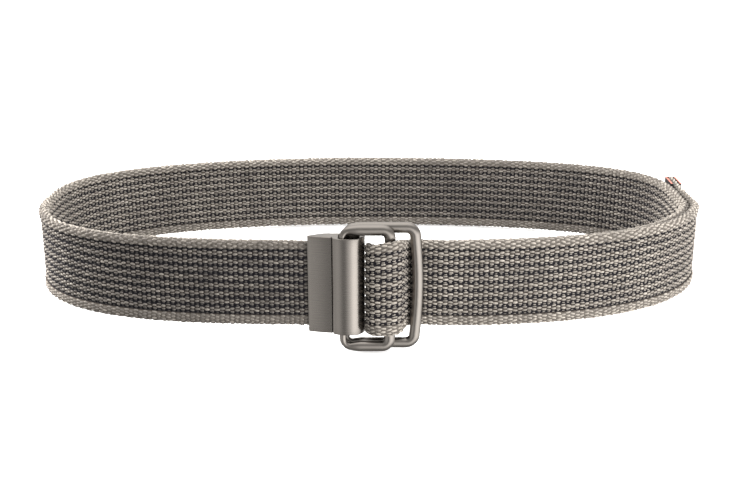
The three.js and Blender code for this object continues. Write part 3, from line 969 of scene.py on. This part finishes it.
# Materials: colours by position along a ramp, linear
YARN_COLOURS = (
    (0.0, (0.065, 0.060, 0.057)),
    (0.3, (0.165, 0.150, 0.136)),
    (0.6, (0.36, 0.328, 0.292)),
    (1.0, (0.68, 0.63, 0.575)),
)
GROUND_COLOURS = (
    (0.0, (0.006, 0.006, 0.008)),
    (0.25, (0.014, 0.0135, 0.016)),
    (0.62, (0.060, 0.051, 0.044)),
    (1.0, (0.125, 0.112, 0.1)),
)
METAL_COLOURS = ((0.3, (0.287, 0.265, 0.245)), (0.7, (0.308, 0.285, 0.264)))
BINDING_COLOURS = ((0.3, (0.020, 0.018, 0.020)), (0.7, (0.060, 0.052, 0.052)))
CORAL_COLOURS = ((0.3, (0.42, 0.13, 0.10)), (0.7, (0.55, 0.21, 0.165)))
# How far the ground's level in a rib's crest rises, what the inner face adds as painted light,
# and its most
CREST_LEVEL = 0.4
INNER_LEVEL = 0.08
MOST_LEVEL = 0.85
# The ground grows paler from this far outside the ribs, at this rate
EDGE_MARGIN = 0.5
EDGE_RATE = 1.2
# Brushing is stretched along the belt's length and depth, and fine in height
HAIR_STRETCH = (14, 14, 3200)


class Nodes:
    """Short names for building one node tree."""

    def __init__(self, tree):
        self.tree = tree
        self.shader = tree.nodes.get("Principled BSDF")

    def add(self, kind, **settings):
        node = self.tree.nodes.new(kind)
        for key, value in settings.items():
            setattr(node, key, value)
        return node

    def link(self, source, target):
        self.tree.links.new(source, target)

    def math(self, operation, a, b=None, c=None):
        node = self.add("ShaderNodeMath", operation=operation)
        for socket, value in zip(node.inputs, (a, b, c)):
            if value is None:
                continue
            if isinstance(value, (int, float)):
                socket.default_value = value
            else:
                self.link(value, socket)
        return node.outputs[0]

    def attribute(self, name):
        return self.add("ShaderNodeAttribute", attribute_name=name).outputs["Fac"]

    def noise(self, scale, detail, roughness=0.6, stretch=(1, 1, 1)):
        """Noise over the object coordinates, stretched by a scale for each axis."""
        source = self.add("ShaderNodeTexCoord")
        mapping = self.add("ShaderNodeMapping")
        mapping.inputs["Scale"].default_value = stretch
        self.link(source.outputs["Object"], mapping.inputs["Vector"])
        node = self.add("ShaderNodeTexNoise")
        node.inputs["Scale"].default_value = scale
        node.inputs["Detail"].default_value = detail
        node.inputs["Roughness"].default_value = roughness
        self.link(mapping.outputs["Vector"], node.inputs["Vector"])
        return node.outputs["Fac"]

    def ramp(self, factor, stops):
        node = self.add("ShaderNodeValToRGB")
        elements = node.color_ramp.elements
        while len(elements) < len(stops):
            elements.new(0.5)
        for element, (position, colour) in zip(elements, stops):
            element.position = position
            element.color = (*colour, 1)
        self.link(factor, node.inputs["Fac"])
        return node.outputs["Color"]

    def bump(self, height, strength, distance):
        node = self.add("ShaderNodeBump")
        node.inputs["Strength"].default_value = strength
        node.inputs["Distance"].default_value = distance
        self.link(height, node.inputs["Height"])
        self.link(node.outputs["Normal"], self.shader.inputs["Normal"])

    def set(self, **values):
        for key, value in values.items():
            self.shader.inputs[key.replace("_", " ")].default_value = value


def new_material(name):
    """A material, and the short names for its nodes."""
    material = bpy.data.materials.new(name)
    material.use_nodes = True
    return material, Nodes(material.node_tree)


def yarn_material():
    """Pale beige-grey cotton, its shade different from float to float."""
    material, m = new_material("pale_yarn")
    # The shade holds random differences and painted shade: a darker outside face, and a darker
    # inner face behind towards the right
    shade = m.attribute("shade")
    fine = m.noise(scale=2600, detail=3)
    broad = m.noise(scale=55, detail=2)
    tone = m.math("MULTIPLY_ADD", fine, 0.5, shade)
    tone = m.math("MULTIPLY_ADD", broad, 0.3, tone)
    tone = m.math("SUBTRACT", tone, 0.4)
    m.link(m.ramp(tone, YARN_COLOURS), m.shader.inputs["Base Color"])
    m.set(Roughness=0.92, Sheen_Weight=0.05, Sheen_Roughness=0.6)
    m.set(Specular_IOR_Level=0.2)
    m.bump(m.noise(scale=5200, detail=2), strength=0.6, distance=0.00012)
    return material


def ground_material():
    """Charcoal yarn of the ground, a little blue. Paler and browner on the ribs' crests and
    under the selvedges."""
    material, m = new_material("charcoal_ground")
    up = m.attribute("up")
    along = m.attribute("along")
    low_edge = m.math("SUBTRACT", RIB_LOW - EDGE_MARGIN, up)
    high_edge = m.math("SUBTRACT", up, RIB_LOW + RIB_PITCH * RIB_COUNT + EDGE_MARGIN)
    edge = m.math("MAXIMUM", low_edge, high_edge)
    edge = m.math("MULTIPLY_ADD", edge, EDGE_RATE, 0.5)
    fine = m.noise(scale=1500, detail=3)
    turn = m.math("MULTIPLY_ADD", up, math.pi / RIB_PITCH, -math.pi * RIB_LOW / RIB_PITCH)
    crest = m.math("POWER", m.math("ABSOLUTE", m.math("SINE", turn)), 2.0)
    # The inner face's paler ground is painted light, matching the yarn's two face shades
    strength = m.math("MULTIPLY_ADD", m.attribute("inner"), INNER_LEVEL, CREST_LEVEL)
    level = m.math("MAXIMUM", m.math("MULTIPLY", crest, strength), edge)
    tone = m.math("MULTIPLY_ADD", fine, 0.25, m.math("MINIMUM", level, MOST_LEVEL))
    m.link(m.ramp(tone, GROUND_COLOURS), m.shader.inputs["Base Color"])
    wave = m.math("SINE", m.math("MULTIPLY", along, 2 * math.pi / (FLOAT_PERIOD / 2)))
    height = m.math("MULTIPLY_ADD", fine, 0.6, m.math("MULTIPLY", wave, 0.5))
    m.bump(height, strength=0.7, distance=0.0003)
    m.set(Roughness=0.95, Specular_IOR_Level=0.1)
    return material


def metal_material(name, polish, brushing):
    """Warm grey metal. Brushing is how much of a level brushing shows, from 0 to 1."""
    material, m = new_material(name)
    hair = m.noise(scale=1.0, detail=4, roughness=0.7, stretch=HAIR_STRETCH)
    broad = m.noise(scale=90, detail=3)
    tone = m.math("MULTIPLY_ADD", hair, brushing, m.math("MULTIPLY", broad, 1 - brushing))
    m.link(m.ramp(tone, METAL_COLOURS), m.shader.inputs["Base Color"])
    rough = m.math("MULTIPLY_ADD", hair, 0.12 * brushing, polish)
    m.link(rough, m.shader.inputs["Roughness"])
    m.set(Metallic=1.0)
    m.bump(hair, strength=0.025 * brushing, distance=0.00004)
    return material


def binding_material():
    """Dark coated cloth whose cut edges, the faces that look up or down, show coral."""
    material, m = new_material("binding_cloth")
    geometry = m.add("ShaderNodeNewGeometry")
    split = m.add("ShaderNodeSeparateXYZ")
    m.link(geometry.outputs["True Normal"], split.inputs["Vector"])
    flat = m.math("ABSOLUTE", split.outputs["Z"])
    cut = m.math("GREATER_THAN", flat, 0.8)
    fine = m.noise(scale=1400, detail=3)
    faces = m.ramp(fine, BINDING_COLOURS)
    core = m.ramp(fine, CORAL_COLOURS)
    mix = m.add("ShaderNodeMix", data_type="RGBA")
    m.link(cut, mix.inputs["Factor"])
    m.link(faces, mix.inputs["A"])
    m.link(core, mix.inputs["B"])
    m.link(mix.outputs["Result"], m.shader.inputs["Base Color"])
    m.set(Roughness=0.7)
    m.bump(fine, strength=0.5, distance=0.0001)
    return material


def floor_material():
    """White, and bright enough in itself to stay white under the soft light."""
    material, m = new_material("pale_floor")
    m.set(Base_Color=(0.9, 0.9, 0.9, 1), Roughness=1.0, Specular_IOR_Level=0.0)
    m.set(Emission_Color=(1, 1, 1, 1), Emission_Strength=0.45)
    return material


# Putting it together
cotton = yarn_material()
ground = ground_material()
brushed = metal_material("brushed_metal", 0.25, 0.4)
satin = metal_material("satin_metal", 0.3, 0.1)
binding = binding_material()

core = make_core()
core.data.materials.append(ground)
web_pieces = [core]
for stem, cells, grain in (
    ("rib_yarn", rib_rows(BRIGHT_ROWS, BRIGHT_SHADE), FULL_GRAIN),
    ("low_yarn", rib_rows(DIM_ROWS, DIM_SHADE), SMALL_GRAIN),
    ("groove_yarn", groove_rows(), SMALL_GRAIN),
    ("selvedge_yarn", edge_rows(), FULL_GRAIN),
):
    for piece in split_floats(stem, cells, grain):
        piece.data.materials.append(cotton)
        web_pieces.append(piece)
for piece in web_pieces:
    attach(piece, "root")
    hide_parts("webbing")

narrow = make_ring("narrow_ring", NARROW_PIN_X, NARROW_Y, NARROW_SPAN, NARROW_BOW)
wide = make_ring("wide_ring", WIDE_PIN_X, WIDE_Y, WIDE_SPAN, WIDE_BOW)
for piece, node, metal in (
    (narrow, "ring_narrow", satin),
    (wide, "ring_wide", satin),
    (make_clamp(), "clamp_sleeve", brushed),
):
    piece.data.materials.append(metal)
    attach(piece, "root")
    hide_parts(node)

tab = make_tab()
tab.data.materials.append(binding)
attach(tab, "root")
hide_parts("end_tab")

# Floor and light
FLOOR_HALF = 6.0
FLOOR_HEIGHT = -0.0007
floor = make_mesh(
    "floor",
    np.array([(x, y, FLOOR_HEIGHT) for x, y in ((-1, -1), (1, -1), (1, 1), (-1, 1))])
    * np.array([FLOOR_HALF, FLOOR_HALF, 1]),
    [np.array([[0, 1, 2, 3]])],
    flat=True,
)
floor.data.materials.append(floor_material())
# Only the camera sees the floor: the light of the studio reaches the belt from below too
floor.visible_diffuse = False
floor.visible_glossy = False
floor.visible_shadow = False

# Brightness of the studio walls by azimuth, in degrees from the front towards the right,
# as a share of WALL_LIGHT
WALLS = (
    (-180, 0.14),
    (-130, 0.18),
    (-105, 0.30),
    (-65, 0.22),
    (-40, 0.29),
    (-28, 0.23),
    (-15, 0.03),
    (-8, 0.07),
    (0, 0.42),
    (8, 0.64),
    (18, 0.82),
    (35, 0.92),
    (55, 0.80),
    (85, 0.46),
    (120, 0.22),
    (180, 0.14),
)
WALL_LIGHT = 3.0
FRONT_TOP = 0.4
BACK_TOP = 1.2
CEILING_LIGHT = 1.8
GROUND_LIGHT = 0.3
LIGHT_TINT = (1.0, 0.985, 0.96)
# Lamps: name, place, what they face, width, power
LAMPS = (
    ("key", (0.42, -0.38, 0.17), (0, -0.05, 0.02), 0.3, 4.0),
    ("left_fill", (-0.42, 0.1, 0.17), (-0.14, 0, 0.03), 0.25, 8.5),
    ("right_fill", (0.24, 0.18, 0.26), (0.14, 0, 0.03), 0.16, 1.6),
)


def studio_world():
    """A soft studio: walls that brighten towards the right of the front, a pale ceiling."""
    world = bpy.data.worlds.new("studio")
    world.use_nodes = True
    m = Nodes(world.node_tree)
    split = m.add("ShaderNodeSeparateXYZ")
    m.link(m.add("ShaderNodeTexCoord").outputs["Generated"], split.inputs["Vector"])
    x, y, z = (split.outputs[axis] for axis in "XYZ")
    azimuth = m.math("ARCTAN2", x, m.math("MULTIPLY", y, -1.0))
    turn = m.math("MULTIPLY_ADD", azimuth, 0.5 / math.pi, 0.5)
    walls = m.ramp(turn, [((a + 180) / 360, (v, v, v)) for a, v in WALLS])
    level = m.math("MULTIPLY", walls, WALL_LIGHT)
    behind = m.math("MAXIMUM", y, 0.0)
    wall_top = m.math("MULTIPLY_ADD", behind, BACK_TOP - FRONT_TOP, FRONT_TOP)
    for low, high, light in (
        (-0.1, 0.25, wall_top),
        (0.5, 0.95, CEILING_LIGHT),
        (-0.42, -0.8, GROUND_LIGHT),
    ):
        share = m.add("ShaderNodeMapRange", interpolation_type="SMOOTHSTEP")
        m.link(z, share.inputs["Value"])
        share.inputs["From Min"].default_value = low
        share.inputs["From Max"].default_value = high
        gap = m.math("SUBTRACT", light, level)
        level = m.math("MULTIPLY_ADD", gap, share.outputs["Result"], level)
    background = m.tree.nodes["Background"]
    background.inputs["Color"].default_value = (*LIGHT_TINT, 1)
    m.link(level, background.inputs["Strength"])
    bpy.context.scene.world = world


def area_light(name, at, towards, width, power):
    """A square lamp that lights the cloth, but neither shows nor is mirrored in the metal."""
    data = bpy.data.lights.new(name, "AREA")
    data.shape = "RECTANGLE"
    data.size = width
    data.size_y = width
    data.energy = power
    data.color = LIGHT_TINT
    light = bpy.data.objects.new(name, data)
    light.location = at
    light.visible_camera = False
    light.visible_glossy = False
    heading = Vector(towards) - Vector(at)
    light.rotation_euler = heading.to_track_quat("-Z", "Y").to_euler()
    bpy.context.scene.collection.objects.link(light)


studio_world()
for lamp in LAMPS:
    area_light(*lamp)
bpy.context.scene.view_settings.view_transform = "Standard"
